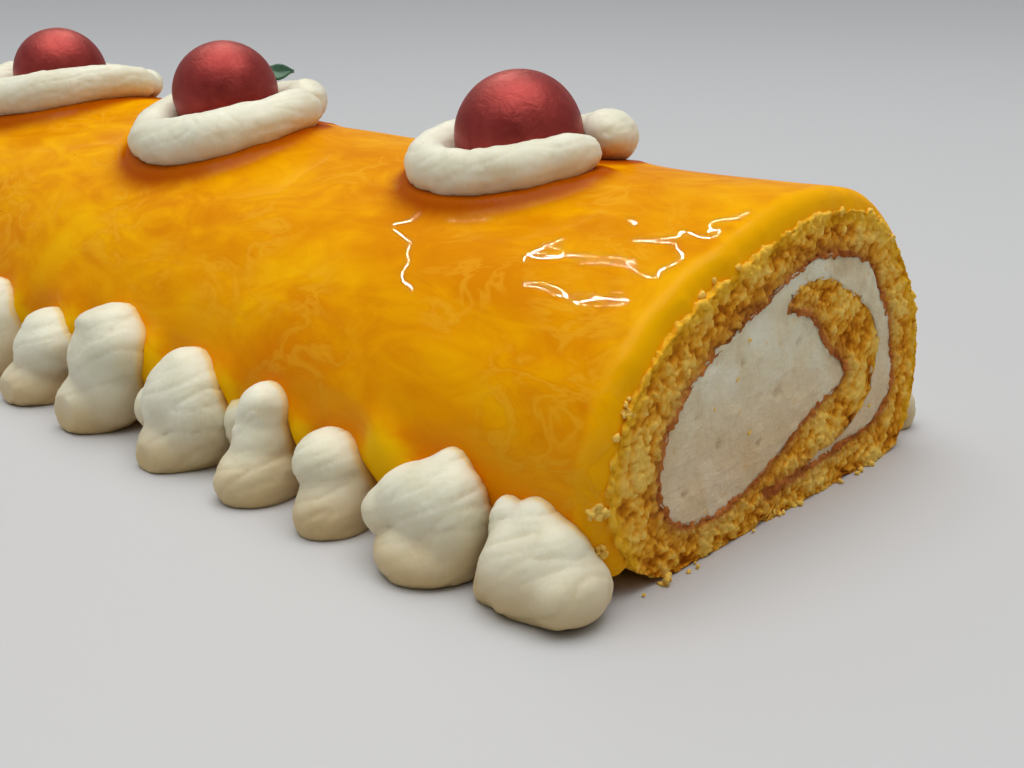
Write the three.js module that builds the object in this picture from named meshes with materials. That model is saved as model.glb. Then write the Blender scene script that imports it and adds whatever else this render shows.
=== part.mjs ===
import * as THREE from 'three';

// Custard roll cake: a sponge sheet rolled round whipped cream, coated with custard and
// topped with three balls in piped rings of cream, with a row of cream dollops at each side.
// Millimetres, +Z up. The roll lies along X, cut face at +X, front at -Y, underside on Z = 0.

const rollLength = 317;
const gap = 0.35;

// Stations of the sponge sheet, from its tip in the middle to its seam under the roll.
// Each is the sheet's thickness, then Y and Z of its browned inner face.
const sheetStations = [
	[ 3, - 1, 39.5 ], [ 8, 7, 37 ], [ 12, 13, 30.5 ], [ 13.7, 21, 23 ], [ 9.6, 9, 18 ],
	[ 9.6, - 8, 10 ], [ 7.4, - 22, 7.4 ], [ 10.5, - 33, 10.5 ], [ 12.8, - 37.2, 20 ],
	[ 11.5, - 31, 31.5 ], [ 10, - 12, 41 ], [ 8.3, 8, 47.2 ], [ 8.5, 25, 44 ], [ 10.5, 36, 31 ],
	[ 11, 40.4, 17.5 ], [ 13.5, 36, 10 ], [ 8.4, 20, 8 ], [ 6.9, 4, 6.4 ], [ 6.1, - 4, 5.6 ]
];
const sheetSteps = 96;
const sheetLayers = 4;
const seamSlant = 0.034;
const turnSpan = 0.025;
const crumbRelief = 1.6;

const creamRecess = 1.2;
const creamMeetsSeam = 93;
const creamMeetsTurn = 18;

const coatGap = 0.5;
const coatSteps = 26;
const coatSpan = [ 0.3625, 0.823 ];
const coatLayer = { side: 2.4, top: 1.6, front: 1.5 };
const rim = { height: 2.6, reach: 90, round: 1.6, thinning: 0.5 };

const ballRadius = 13;
const balls = [ [ 91.7, 64.1 ], [ - 9.4, 64.6 ], [ - 92.1, 64 ] ];

// Rings of piped cream: the middle's offset from the ball, half sizes of the oval, its turn in
// degrees, the height of the strand's middle in radii and its radius at five places along it.
const rings = [
	{ offset: [ 1, 1 ], half: [ 20.3, 17 ], axis: 43, lift: 1.3, radii: [ 4, 4.5, 4.8, 3.5, 5.2 ] },
	{ offset: [ 1.9, 0.2 ], half: [ 21.3, 18.6 ], axis: 78, lift: 1, radii: [ 4.6, 5.1, 5, 3, 6 ] },
	{ offset: [ 2, 2 ], half: [ 23.8, 17.4 ], axis: 43, lift: 1.12, radii: [ 3.9, 4.6, 4.6, 3.2, 4.2 ] }
];
const ringStart = 29;
const ringSweep = 326;
const ringSteps = 26;

// Dollops of each row, from the cut end: middle along X, width, height, sideways shift of the
// foot and how far the foot reaches out from the middle of the cake.
const frontRow = [
	[ 147, 25.5, 18.3, 2, 64.5 ], [ 125, 26.5, 21.8, - 3, 67.5 ], [ 101.5, 21, 17.8, 1.5, 67.5 ],
	[ 79, 22.5, 21.3, 1, 68 ], [ 54, 26, 22.6, 0.5, 69.5 ], [ 25.5, 28, 27.2, - 0.5, 69.5 ],
	[ - 3, 27, 20.6, - 1, 69.5 ], [ - 29, 25.5, 23, 0.5, 69 ], [ - 54, 26, 21.5, - 1, 69.5 ],
	[ - 79, 25, 24.5, 1, 68.5 ], [ - 103.5, 25.5, 20.5, - 0.5, 69 ], [ - 126.5, 23.5, 22.5, 0.5, 68 ],
	[ - 147.5, 24, 19.5, - 1.5, 66.5 ]
];
const backRow = [
	[ 146, 25, 19.5, 1.5, 65.5 ], [ 122, 26, 22.5, - 1, 68 ], [ 97, 25, 20, 0.5, 68.5 ],
	[ 73, 25.5, 24, - 1, 68 ], [ 48, 25.5, 21.5, 1, 69 ], [ 23, 26, 23.5, - 1, 68 ],
	[ - 2, 25.5, 20.5, 0.5, 69 ], [ - 27, 26, 22.5, - 0.5, 68.5 ], [ - 52, 25.5, 21, 1, 69 ],
	[ - 77, 26, 24.5, - 1, 68 ], [ - 102, 25.5, 21.5, 0.5, 68.5 ], [ - 125.5, 24, 20, - 1, 68 ],
	[ - 147, 23.5, 21.5, - 1, 66.5 ]
];
const dollopDepth = 22;
const dollopSink = 0.3;
const dollopGap = 0.9;
const dollopLean = 1.5;
const dollopBulge = { rounding: 0.16, across: 1.1, out: 1.12 };
const dollopCleft = { depth: 0.2, level: 0.1, spread: 0.24 };
const softness = { sideways: 3, inward: 1 };

// The leaf stands aslant on the second ring; its middle is measured from the ball's.
const leaf = { middle: [ - 4.6, 18.6, 3.1 ], length: 11, width: 4.4, thickness: 0.8, heading: 48 };
const leafForm = { tilt: 45, rise: 1, wave: 0.5, waves: 9, fold: 1.2, tip: 0.06, fullness: 0.8 };

const { lerp, clamp, degToRad, smoothstep } = THREE.MathUtils;

const colours = {
	sponge: 0xdcab4c, filling: 0xe6dfc8, custard: 0xe59a06, cream: 0xece4cc, ball: 0xa8343c,
	leaf: 0x2f6b45
};

const cake = new THREE.Group();

function add( name, geometry, color, roughness ) {

	geometry.computeVertexNormals();
	const mesh = new THREE.Mesh( geometry, new THREE.MeshStandardMaterial( { color, roughness } ) );
	mesh.name = name;
	cake.add( mesh );

}

// Moves every vertex of a geometry to the point that place returns for it.
function reshape( geometry, place ) {

	const position = geometry.attributes.position;
	const vertex = new THREE.Vector3();
	for ( let i = 0; i < position.count; i ++ ) {

		const { x, y, z } = place( vertex.fromBufferAttribute( position, i ) );
		position.setXYZ( i, x, y, z );

	}

	return geometry;

}

// A number from -0.5 to 0.5 that looks random, the same for the same cell.
function scatter( column, row ) {

	const wave = Math.sin( column * 12.9898 + row * 78.233 ) * 43758.5453;
	return wave - Math.floor( wave ) - 0.5;

}

const stationPoints = sheetStations.map( ( station ) => new THREE.Vector3( ...station ) );
const sheetLine = new THREE.CatmullRomCurve3( stationPoints );
const sheetLength = sheetLine.getLength();

// A point on the sheet's inner face at a fraction of its length, with the way out of the roll.
function sheetAt( along ) {

	const onSheet = clamp( along, 0, 1 );
	const before = sheetLine.getPointAt( clamp( along - turnSpan, 0, 1 ) );
	const after = sheetLine.getPointAt( clamp( along + turnSpan, 0, 1 ) );
	const heading = new THREE.Vector2( after.y - before.y, after.z - before.z ).normalize();
	const here = sheetLine.getPointAt( onSheet );
	const beyond = ( along - onSheet ) * sheetLength;
	return {
		thickness: here.x,
		inner: new THREE.Vector2( here.y, here.z ).addScaledVector( heading, beyond ),
		outward: new THREE.Vector2( - heading.y, heading.x )
	};

}

function throughSheet( along, depth, extra = 0 ) {

	const { thickness, inner, outward } = sheetAt( along );
	const point = inner.clone().addScaledVector( outward, thickness * depth + extra );
	point.y = Math.max( point.y, 0 );
	return point;

}

function spongeSheet() {

	const sheet = new THREE.BoxGeometry( 1, 1, 1, 2, sheetSteps, sheetLayers );
	return reshape( sheet, ( vertex ) => {

		const step = Math.round( ( vertex.y + 0.5 ) * sheetSteps );
		const layer = Math.round( ( vertex.z + 0.5 ) * sheetLayers );
		const depth = layer / sheetLayers;
		const point = throughSheet( step / sheetSteps * ( 1 - seamSlant * ( 1 - depth ) ), depth );
		const crumb = scatter( step, layer ) * crumbRelief * Math.abs( vertex.x ) * 2;
		return { x: vertex.x * ( rollLength - crumbRelief ) + crumb, y: point.x, z: point.y };

	} );

}

// The filling lies between the sheet's inner face and the back of its first turn.
function creamFilling() {

	const outline = [];
	for ( let step = - 1; step <= creamMeetsSeam; step ++ ) {

		const along = step < 0 ? - gap / sheetLength : step / sheetSteps * ( 1 - seamSlant );
		outline.push( throughSheet( along, 0, - gap ) );

	}

	for ( let step = creamMeetsTurn; step >= - 1; step -- ) {

		const along = step < 0 ? - gap / sheetLength : step / sheetSteps;
		outline.push( throughSheet( along, 1, gap ) );

	}

	const depth = rollLength - creamRecess * 2;
	const shape = new THREE.Shape( outline );
	const body = new THREE.ExtrudeGeometry( shape, { depth, steps: 2, bevelEnabled: false } );
	return body.translate( 0, 0, - depth / 2 ).rotateX( Math.PI / 2 ).rotateZ( Math.PI / 2 );

}

// The back of the sheet under the coat, step by step from the front edge over the top.
const coatBed = Array.from( { length: coatSteps + 1 }, ( _, step ) => {

	const along = lerp( ...coatSpan, step / coatSteps );
	return { point: throughSheet( along, 1, coatGap ), outward: sheetAt( along ).outward };

} );

function coatThickness( outward, x ) {

	const fromEnd = rollLength / 2 - Math.abs( x );
	const upward = Math.max( outward.y, 0 );
	const layer = coatLayer.side + coatLayer.top * upward ** 2 - coatLayer.front * outward.x;
	const hollow = rim.height * upward * smoothstep( fromEnd, 0, rim.reach );
	return ( layer - hollow ) * ( 1 - rim.thinning * Math.exp( - fromEnd / rim.round ) );

}

function coatPoint( step, x, depth ) {

	const { point, outward } = coatBed[ step ];
	return point.clone().addScaledVector( outward, depth * coatThickness( outward, x ) );

}

function custardCoat() {

	const coat = new THREE.BoxGeometry( 1, 1, 1, 16, coatSteps, 1 );
	return reshape( coat, ( vertex ) => {

		const x = Math.sin( vertex.x * Math.PI ) * rollLength / 2;
		const step = Math.round( ( vertex.y + 0.5 ) * coatSteps );
		const point = coatPoint( step, x, vertex.z + 0.5 );
		return { x, y: point.x, z: point.y };

	} );

}

// Where the coat's outer face crosses a given Y or Z in the section at x.
function coatCrossings( x, axis, value ) {

	const other = axis === 'x' ? 'y' : 'x';
	const found = [];
	for ( let step = 0; step < coatSteps; step ++ ) {

		const a = coatPoint( step, x, 1 );
		const b = coatPoint( step + 1, x, 1 );
		if ( ( a[ axis ] - value ) * ( b[ axis ] - value ) > 0 ) continue;
		found.push( lerp( a[ other ], b[ other ], ( value - a[ axis ] ) / ( b[ axis ] - a[ axis ] ) ) );

	}

	return found;

}

function coatTop( x, y ) {

	return Math.max( ...coatCrossings( x, 'x', y ) );

}

function coatSide( x, z, side ) {

	const crossings = coatCrossings( x, 'y', z ).map( ( y ) => y * side );
	const reach = Math.max( ...crossings );
	return reach > 0 ? reach : coatPoint( side < 0 ? 0 : coatSteps, x, 1 ).x * side;

}

function ball( [ ballX, ballZ ] ) {

	const sphere = new THREE.SphereGeometry( ballRadius, 18, 12 ).rotateX( Math.PI / 2 );
	return reshape( sphere.translate( ballX, 0, ballZ ), ( { x, y, z } ) => {

		return { x, y, z: Math.max( z, coatTop( x, y ) + gap ) };

	} );

}

// A strand piped round a ball: a rope with round ends that stands on the coat.
function creamRing( { offset, half, axis, radii, lift }, [ ballX, ballZ ] ) {

	const sweep = degToRad( ringSweep );
	const length = sweep * ( half[ 0 ] + half[ 1 ] ) / 2;
	const radiusAt = ( along ) => {

		const place = Math.min( along, 0.9999 ) * ( radii.length - 1 );
		const from = Math.floor( place );
		return lerp( radii[ from ], radii[ from + 1 ], smoothstep( place - from, 0, 1 ) );

	};

	const profile = [];
	for ( let step = 0; step <= ringSteps; step ++ ) {

		const along = ( 1 - Math.cos( step / ringSteps * Math.PI ) ) / 2;
		const fromEnd = Math.min( along, 1 - along ) * length / radiusAt( along );
		const round = Math.sqrt( 1 - ( 1 - Math.min( fromEnd, 1 ) ) ** 2 );
		profile.push( new THREE.Vector2( radiusAt( along ) * round, along ) );

	}

	return reshape( new THREE.LatheGeometry( profile, 8 ), ( { x: inward, y: along, z: rise } ) => {

		const turn = degToRad( ringStart - axis ) - along * sweep;
		const middle = new THREE.Vector2( half[ 0 ] * Math.cos( turn ), half[ 1 ] * Math.sin( turn ) );
		middle.rotateAround( new THREE.Vector2(), degToRad( axis ) ).add( new THREE.Vector2( ...offset ) );
		const rest = lift * radiusAt( along );
		const stretch = rise < 0 ? lift - gap / radiusAt( along ) : 1;
		const z = coatTop( ballX + middle.x, middle.y ) + rest + rise * stretch;
		const ballHere = Math.sqrt( Math.max( ( ballRadius + gap ) ** 2 - ( z - ballZ ) ** 2, 0 ) );
		const flat = middle.clone().setLength( Math.max( middle.length() - inward, ballHere ) );
		const floor = coatTop( ballX + flat.x, flat.y ) + gap;
		return { x: ballX + flat.x, y: flat.y, z: Math.max( z, floor ) };

	} );

}

// Bends a value towards a limit that it never reaches, starting at the given softness before it.
function soften( value, limit, softness ) {

	const knee = limit - softness;
	return value < knee ? value : limit - softness * Math.exp( ( knee - value ) / softness );

}

// A dollop piped against the roll: two lobes with a cleft between them, flat on its underside.
function dollop( [ middle, width, height, footShift, reach ], side, from, to ) {

	const blob = new THREE.SphereGeometry( 1, 12, 9 ).rotateX( Math.PI / 2 );
	return reshape( blob, ( { x: turned, y: out, z: rise } ) => {

		const across = turned * side;
		const level = ( rise - dollopCleft.level ) / dollopCleft.spread;
		const cleft = dollopCleft.depth * Math.exp( - ( level ** 2 ) ) * ( 1 - across ) / 2;
		const full = ( 1 + dollopBulge.rounding * ( 1 - rise ** 2 ) ) * ( 1 - cleft ) / 2;
		const z = Math.max( height * ( ( 1 + dollopSink ) * ( rise + 1 ) / 2 - dollopSink ), 0 );
		const foot = ( 1 - rise ) / 2;
		let x = footShift * ( foot * 2 - 1 ) + across * full * width / dollopBulge.across;
		x = soften( x, to - middle - gap / 2, softness.sideways );
		x = - soften( - x, middle - from - gap / 2, softness.sideways );
		let y = reach - lerp( dollopLean, 0, foot ) - dollopDepth / 2;
		y += out * full * dollopDepth / dollopBulge.out;
		y = - soften( - y, - coatSide( middle + x, z, side ) - dollopGap, softness.inward );
		return { x: middle + x, y: y * side, z };

	} );

}

function dollopRow( name, row, side ) {

	row.forEach( ( entry, i ) => {

		const [ middle, width ] = entry;
		const edgeWith = ( other, end ) => {

			if ( ! other ) return end;
			return ( middle * other[ 1 ] + other[ 0 ] * width ) / ( width + other[ 1 ] );

		};

		const to = edgeWith( row[ i - 1 ], middle + width );
		const from = edgeWith( row[ i + 1 ], middle - width );
		add( `${ name }_${ i + 1 }`, dollop( entry, side, from, to ), colours.cream, 0.55 );

	} );

}

// Splits the squares of a box's underside along the same diagonals as those of its top.
function matchDiagonals( { index, groups } ) {

	const { start, count } = groups.at( - 1 );
	for ( let i = start; i < start + count; i += 6 ) {

		const corner = index.getX( i );
		const opposite = index.getX( i + 4 );
		index.setX( i + 2, opposite );
		index.setX( i + 3, corner );

	}

}

// A pointed leaf, thin, wavy and folded along its middle.
function leafBlade( [ ballX, ballZ ] ) {

	const blade = new THREE.BoxGeometry( 1, 1, 1, 8, 4, 1 );
	matchDiagonals( blade );
	const [ leafX, leafY, leafZ ] = leaf.middle;
	const heading = degToRad( leaf.heading );
	const tilt = degToRad( leafForm.tilt );
	return reshape( blade, ( { x: along, y: across, z: depth } ) => {

		const share = leafForm.tip + Math.cos( along * Math.PI ) ** leafForm.fullness;
		const ripple = leafForm.wave * Math.sin( along * leafForm.waves ) * across * 2;
		const lift = ripple + leafForm.fold * Math.abs( across ) + depth * leaf.thickness;
		const slope = new THREE.Vector2( leaf.width * share * across, lift );
		slope.rotateAround( new THREE.Vector2(), tilt );
		const flat = new THREE.Vector2( along * leaf.length, slope.x );
		flat.rotateAround( new THREE.Vector2(), heading );
		const z = ballZ + leafZ + leafForm.rise * along + slope.y;
		return { x: ballX + leafX + flat.x, y: leafY + flat.y, z };

	} );

}

add( 'sponge_sheet', spongeSheet(), colours.sponge, 0.9 );
add( 'cream_filling', creamFilling(), colours.filling, 0.6 );
add( 'custard_coat', custardCoat(), colours.custard, 0.15 );
balls.forEach( ( entry, i ) => {

	add( `ball_${ i + 1 }`, ball( entry ), colours.ball, 0.35 );
	add( `cream_ring_${ i + 1 }`, creamRing( rings[ i ], entry ), colours.cream, 0.55 );

} );
add( 'leaf', leafBlade( balls[ 1 ] ), colours.leaf, 0.5 );
dollopRow( 'dollop_front', frontRow, - 1 );
dollopRow( 'dollop_back', backRow, 1 );

export default cake;
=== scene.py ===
import bpy
import bmesh
import math
import random
from mathutils import Matrix, Vector, noise
from mathutils.bvhtree import BVHTree
from mathutils.kdtree import KDTree


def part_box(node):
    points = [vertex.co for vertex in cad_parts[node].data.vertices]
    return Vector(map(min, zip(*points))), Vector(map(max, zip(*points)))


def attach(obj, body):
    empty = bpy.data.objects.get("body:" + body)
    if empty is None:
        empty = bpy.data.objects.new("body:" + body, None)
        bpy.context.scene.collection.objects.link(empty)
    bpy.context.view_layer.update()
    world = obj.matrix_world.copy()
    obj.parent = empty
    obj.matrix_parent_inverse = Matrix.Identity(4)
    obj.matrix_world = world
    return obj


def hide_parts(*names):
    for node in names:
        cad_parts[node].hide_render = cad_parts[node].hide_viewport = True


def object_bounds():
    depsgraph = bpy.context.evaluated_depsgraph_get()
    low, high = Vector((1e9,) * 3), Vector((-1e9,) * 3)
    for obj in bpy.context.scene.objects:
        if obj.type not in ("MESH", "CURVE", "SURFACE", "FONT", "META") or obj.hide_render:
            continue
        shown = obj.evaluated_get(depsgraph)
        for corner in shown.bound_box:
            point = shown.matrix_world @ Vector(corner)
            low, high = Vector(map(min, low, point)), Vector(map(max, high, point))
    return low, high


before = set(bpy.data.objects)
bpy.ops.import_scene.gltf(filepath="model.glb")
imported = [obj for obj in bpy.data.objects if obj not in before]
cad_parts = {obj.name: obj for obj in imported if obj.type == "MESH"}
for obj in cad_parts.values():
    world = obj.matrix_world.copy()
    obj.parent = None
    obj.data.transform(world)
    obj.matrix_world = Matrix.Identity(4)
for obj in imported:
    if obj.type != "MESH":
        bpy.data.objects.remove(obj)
solidBox = [list(corner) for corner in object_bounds()]  # the frame's own size, before any dressing

mm = 0.001


# small helpers for shapes

def ease(value, low, high):
    t = min(max((value - low) / (high - low), 0), 1)
    return t * t * (3 - 2 * t)


def blend(a, b, t):
    return a + (b - a) * t


def grain(point, size, seed):
    # soft noise from -1 to 1, with lumps of about the given size in metres
    return noise.noise(Vector(point) / size + Vector((seed, seed * 0.7, -seed)))


def crumbs(point, size, seed):
    # height of rounded lumps: 0.5 at their middles, falling into sharp creases
    near = noise.voronoi(Vector(point) / size + Vector((seed, seed, seed)))[0]
    return 0.5 - near[0]


def curveAt(points, t):
    # smooth curve through the points, t from 0 to 1
    place = min(max(t, 0), 0.99999) * (len(points) - 1)
    i = int(place)
    f = place - i
    a, b = points[i], points[i + 1]
    before = points[i - 1] if i else a + (a - b)
    after = points[i + 2] if i + 2 < len(points) else b + (b - a)
    return 0.5 * (2 * a + (b - before) * f + (2 * before - 5 * a + 4 * b - after) * f ** 2
                  + (3 * a - before - 3 * b + after) * f ** 3)


def copyOf(node):
    # a merged copy of a node's mesh, to dress
    bm = bmesh.new()
    bm.from_mesh(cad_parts[node].data)
    bmesh.ops.remove_doubles(bm, verts=bm.verts, dist=0.01 * mm)
    bmesh.ops.recalc_face_normals(bm, faces=bm.faces)
    return bm


def applied(bm, kind, **settings):
    # runs one modifier on a bmesh, in place
    raw = bpy.data.meshes.new("raw")
    bm.to_mesh(raw)
    carrier = bpy.data.objects.new("raw", raw)
    bpy.context.scene.collection.objects.link(carrier)
    modifier = carrier.modifiers.new("shape", kind)
    for name, value in settings.items():
        setattr(modifier, name, value)
    graph = bpy.context.evaluated_depsgraph_get()
    done = bpy.data.meshes.new_from_object(carrier.evaluated_get(graph))
    bm.clear()
    bm.from_mesh(done)
    bpy.data.objects.remove(carrier)
    bpy.data.meshes.remove(raw)
    bpy.data.meshes.remove(done)


def smooth(bm, factor):
    bmesh.ops.smooth_vert(bm, verts=bm.verts, factor=factor,
                          use_axis_x=True, use_axis_y=True, use_axis_z=True)


def piece(name, bm, finish, nodes=()):
    mesh = bpy.data.meshes.new(name)
    bm.to_mesh(mesh)
    bm.free()
    mesh.shade_smooth()
    mesh.materials.append(finish)
    obj = bpy.data.objects.new(name, mesh)
    bpy.context.scene.collection.objects.link(obj)
    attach(obj, "root")
    if nodes:
        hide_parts(*nodes)
    return obj


# small helpers for finishes

class Wire:
    # one socket, so that a sum of sockets reads as a sum
    def __init__(self, finish, socket):
        self.finish = finish
        self.socket = socket

    def sum(self, operation, first, second):
        return self.finish.node("ShaderNodeMath", {"operation": operation}, {0: first, 1: second})

    def __add__(self, other):
        return self.sum("ADD", self, other)

    def __radd__(self, other):
        return self.sum("ADD", other, self)

    def __sub__(self, other):
        return self.sum("SUBTRACT", self, other)

    def __rsub__(self, other):
        return self.sum("SUBTRACT", other, self)

    def __mul__(self, other):
        return self.sum("MULTIPLY", self, other)

    def __rmul__(self, other):
        return self.sum("MULTIPLY", other, self)


class Finish:
    def __init__(self, name, **constants):
        self.material = bpy.data.materials.new(name)
        self.material.use_nodes = True
        self.tree = self.material.node_tree
        self.shader = self.tree.nodes["Principled BSDF"]
        for socket, value in constants.items():
            self.shader.inputs[socket.replace("_", " ")].default_value = value
        self.place = self.node("ShaderNodeTexCoord", {}, {}, "Object")

    def node(self, kind, settings, sockets, out=0):
        made = self.tree.nodes.new(kind)
        for name, value in settings.items():
            if name == "stops":
                while len(made.color_ramp.elements) < len(value):
                    made.color_ramp.elements.new(0.5)
                for stop, (place, colour) in zip(made.color_ramp.elements, value):
                    stop.position = place
                    stop.color = (*colour, 1)
            else:
                setattr(made, name, value)
        for name, value in sockets.items():
            if isinstance(value, Wire):
                self.tree.links.new(value.socket, made.inputs[name])
            else:
                made.inputs[name].default_value = value
        return Wire(self, made.outputs[out])

    def noise(self, size, detail=3, roughness=0.5, distortion=0, place=None):
        return self.node("ShaderNodeTexNoise", {}, {
            "Vector": place or self.place, "Scale": 1 / size, "Detail": detail,
            "Roughness": roughness, "Distortion": distortion})

    def lumps(self, size):
        return self.node("ShaderNodeTexVoronoi", {}, {"Vector": self.place, "Scale": 1 / size})

    def height(self):
        # metres above the table
        return self.node("ShaderNodeSeparateXYZ", {}, {0: self.place}, 2)

    def stretched(self, scale, turn):
        return self.node("ShaderNodeMapping", {}, {
            "Vector": self.place, "Scale": scale, "Rotation": [math.radians(a) for a in turn]})

    def between(self, value, low, high):
        return self.node("ShaderNodeMapRange", {"interpolation_type": "SMOOTHSTEP"},
                         {"Value": value, "From Min": low, "From Max": high})

    def ramp(self, value, *stops):
        return self.node("ShaderNodeValToRGB", {"stops": stops}, {0: value})

    def mix(self, factor, first, second):
        colours = [c if isinstance(c, Wire) else (*c, 1) for c in (first, second)]
        return self.node("ShaderNodeMix", {"data_type": "RGBA"},
                         {0: factor, 6: colours[0], 7: colours[1]}, 2)

    def stored(self, name):
        return self.node("ShaderNodeAttribute", {"attribute_name": name}, {}, "Fac")

    def bump(self, height, distance, strength):
        return self.node("ShaderNodeBump", {}, {
            "Height": height, "Distance": distance, "Strength": strength})

    def feed(self, **links):
        for socket, wire in links.items():
            self.tree.links.new(wire.socket, self.shader.inputs[socket.replace("_", " ")])
        return self.material


# camera, floor and lights

studio = {
    "lens": 45.421875,
    "sensor": 36,
    "place": (0.27097, -0.19396, 0.10192),
    "azimuth": 43.05,
    "elevation": 19.08,
    "floorColour": (0.58, 0.58, 0.582),
    "lights": [
        # name, place, aim, width, depth, watts, colour
        ("overhead", (0.08, -0.04, 1.3), (0, 0, 0), 1.3, 1.1, 8.6, (1, 0.985, 0.96)),
    ],
    # thin lights that only shine back from wet surfaces: azimuth and elevation of their corners
    "squiggles": [
        [(129.7, 38.1), (134.6, 39.8), (141, 37.5), (137.4, 40.3), (138.8, 41.9),
         (151.9, 48.9), (154.6, 49.5), (150, 44.5), (146, 43)],
        [(150.4, 35.9), (151.6, 38.7), (147.8, 42.3), (148.4, 45.9)],
        [(155.9, 43.5), (152.5, 43.4), (151.8, 45.8)],
        [(172, 47.9), (167.3, 48.5), (162.9, 50.3), (165.7, 50.3), (173.6, 48.3), (172, 47.9)],
        [(159.8, 34.1), (163.8, 37.3), (172.2, 39.6), (186.4, 40.1), (189.4, 39.6)],
        [(153.7, 38.7), (151, 36.5), (147, 35)],
    ],
    "strip": {
        "aim": (0.13, -0.02, 0.052), "away": 0.8, "width": 0.001, "wattsPerMetre": 0.9,
        "colour": (1, 0.97, 0.82),
    },
    # the sky brightens from low to high between two heights, and one patch of it is dark
    "sky": {"low": 0.3, "high": 1.55, "from": 0.7, "to": 0.95, "colour": (0.96, 0.98, 1, 1)},
    "dim": {"towards": (0.66, -0.7, 0.25), "from": 0.76, "to": 0.94, "left": 0},
}


def setCamera():
    cameraData = bpy.data.cameras.new("camera")
    cameraData.lens = studio["lens"]
    cameraData.sensor_width = studio["sensor"]
    cameraData.clip_start = 0.01
    camera = bpy.data.objects.new("camera", cameraData)
    bpy.context.scene.collection.objects.link(camera)
    azimuth = math.radians(studio["azimuth"])
    down = math.radians(studio["elevation"])
    level = math.cos(down)
    ahead = Vector((-math.sin(azimuth) * level, math.cos(azimuth) * level, -math.sin(down)))
    turn = ahead.to_track_quat("-Z", "Y").to_matrix().to_4x4()
    camera.matrix_world = Matrix.Translation(studio["place"]) @ turn
    bpy.context.scene.camera = camera


def setStrip(first, last):
    # one thin light from corner to corner, facing the cake
    light = bpy.data.lights.new("strip", "AREA")
    light.shape = "RECTANGLE"
    light.size, light.size_y = (last - first).length, studio["strip"]["width"]
    light.energy = studio["strip"]["wattsPerMetre"] * light.size
    light.color = studio["strip"]["colour"]
    lamp = bpy.data.objects.new("strip", light)
    lamp.visible_diffuse = False
    bpy.context.scene.collection.objects.link(lamp)
    middle = (first + last) / 2
    away = (middle - Vector(studio["strip"]["aim"])).normalized()
    along = (last - first).normalized()
    turn = Matrix((along, away.cross(along), away)).transposed()
    lamp.matrix_world = Matrix.Translation(middle) @ turn.to_4x4()


def setFloor():
    bm = bmesh.new()
    bmesh.ops.create_grid(bm, x_segments=1, y_segments=1, size=40)
    mesh = bpy.data.meshes.new("floor")
    bm.to_mesh(mesh)
    bm.free()
    floor = bpy.data.objects.new("floor", mesh)
    bpy.context.scene.collection.objects.link(floor)
    paper = Finish("paleFloor", Roughness=0.6)
    darker = [c * 0.97 for c in studio["floorColour"]]
    colour = paper.mix(paper.noise(0.4, 2), studio["floorColour"], darker)
    mesh.materials.append(paper.feed(Base_Color=colour))


def setLights():
    for name, place, aim, width, depth, watts, colour in studio["lights"]:
        light = bpy.data.lights.new(name, "AREA")
        light.shape = "RECTANGLE"
        light.size, light.size_y = width, depth
        light.energy = watts
        light.color = colour
        lamp = bpy.data.objects.new(name, light)
        bpy.context.scene.collection.objects.link(lamp)
        towards = (Vector(aim) - Vector(place)).to_track_quat("-Z", "Y")
        lamp.matrix_world = Matrix.Translation(place) @ towards.to_matrix().to_4x4()
    for line in studio["squiggles"]:
        corners = []
        for azimuth, elevation in line:
            way = Vector((studio["strip"]["away"], 0, 0))
            way.rotate(Matrix.Rotation(-math.radians(elevation), 3, "Y"))
            way.rotate(Matrix.Rotation(math.radians(azimuth), 3, "Z"))
            corners.append(way + Vector(studio["strip"]["aim"]))
        for first, last in zip(corners, corners[1:]):
            setStrip(first, last)


def softStep(tree, value, low, high, first, last):
    # a smooth change from first to last while the value goes from low to high
    step = tree.nodes.new("ShaderNodeMapRange")
    step.interpolation_type = "SMOOTHSTEP"
    for socket, setting in (("From Min", low), ("From Max", high), ("To Min", first), ("To Max", last)):
        step.inputs[socket].default_value = setting
    tree.links.new(value, step.inputs["Value"])
    return step.outputs[0]


def setSky():
    world = bpy.data.worlds.new("world")
    world.use_nodes = True
    tree = world.node_tree
    sky = studio["sky"]
    dim = studio["dim"]
    way = tree.nodes.new("ShaderNodeTexCoord")
    split = tree.nodes.new("ShaderNodeSeparateXYZ")
    tree.links.new(way.outputs["Generated"], split.inputs[0])
    glow = softStep(tree, split.outputs["Z"], sky["from"], sky["to"], sky["low"], sky["high"])
    facing = tree.nodes.new("ShaderNodeVectorMath")
    facing.operation = "DOT_PRODUCT"
    facing.inputs[1].default_value = dim["towards"]
    tree.links.new(way.outputs["Generated"], facing.inputs[0])
    patch = softStep(tree, facing.outputs["Value"], dim["from"], dim["to"], 1, dim["left"])
    strength = tree.nodes.new("ShaderNodeMath")
    strength.operation = "MULTIPLY"
    tree.links.new(glow, strength.inputs[0])
    tree.links.new(patch, strength.inputs[1])
    background = tree.nodes["Background"]
    tree.links.new(strength.outputs[0], background.inputs["Strength"])
    background.inputs["Color"].default_value = sky["colour"]
    bpy.context.scene.world = world


setCamera()
setFloor()
setLights()
bpy.context.scene.view_settings.view_transform = "Standard"  # keeps the custard's full colour
setSky()
print("studio ready")


# the piped cream rings: where their strands run
# each is an oval round its ball; its strand starts at a turn, sweeps round and is pinched in at its end
# the radii, and the lifts of its middle as shares of them, are spread evenly along it

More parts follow.
